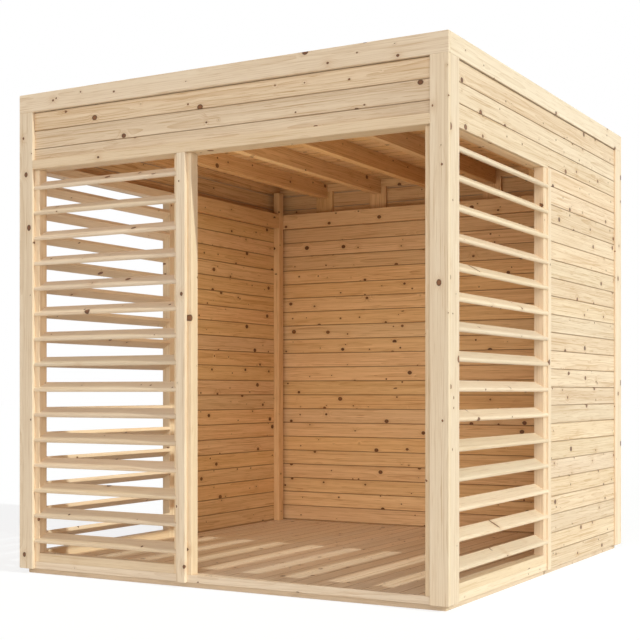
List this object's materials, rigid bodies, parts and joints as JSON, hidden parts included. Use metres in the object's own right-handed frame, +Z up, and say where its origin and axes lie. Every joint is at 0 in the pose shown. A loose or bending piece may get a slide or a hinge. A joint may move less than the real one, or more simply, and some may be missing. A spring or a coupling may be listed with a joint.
{
  "type": "garden pavilion",
  "caption": "Square flat-roofed garden pavilion of horizontal softwood boards, with an open doorway, louvred front and side bays, a boarded rear half and a low timber floor.",
  "frame": {"origin": "on the ground at the middle of the square plan", "axes": "+Z up, -Y towards the front with the doorway, +X to the right seen from the front"},
  "size_m": [2.34, 2.34, 2.36],
  "materials": {
    "cladding": "planed, satin",
    "trim": "planed, satin",
    "slats": "planed, satin",
    "frame": "planed, satin",
    "lining": "planed, satin",
    "floor_boards": "planed, satin",
    "floor_frame": "sawn, matt",
    "ceiling": "planed, satin",
    "membrane": "matt"
  },
  "bodies": {
    "root": {"rim_joists": "floor_frame", "floor_joists": "floor_frame", "floor_boards": "floor_boards", "corner_posts": "frame", "rear_inner_posts": "lining", "inner_rails": "lining", "door_jambs": "frame", "front_louvre_stiles": "frame", "front_louvre_rail": "frame", "front_louvre_slats": "slats", "right_louvre_stiles": "frame", "right_louvre_rail": "frame", "right_louvre_slats": "slats", "left_louvre_stiles": "frame", "left_louvre_rail": "frame", "left_louvre_slats": "slats", "front_plinth": "trim", "side_plinths": "trim", "front_header": "frame", "side_headers": "frame", "right_wall_boards": "cladding", "right_wall_lining": "lining", "left_wall_boards": "cladding", "left_wall_lining": "lining", "back_wall_boards": "cladding", "back_wall_lining": "lining", "wall_studs": "frame", "front_crown_boards": "cladding", "side_crown_boards": "cladding", "front_fascia": "trim", "back_fascia": "trim", "side_fascias": "trim", "front_right_trim": "trim", "front_left_trim": "trim", "back_right_trim": "trim", "back_left_trim": "trim", "front_mid_trim": "trim", "side_strips": "trim", "ceiling_beams": "ceiling", "beam_blocks": "ceiling", "end_ledgers": "ceiling", "side_ledgers": "ceiling", "roof_deck": "ceiling", "roof_membrane": "membrane"}
  },
  "joints": []
}
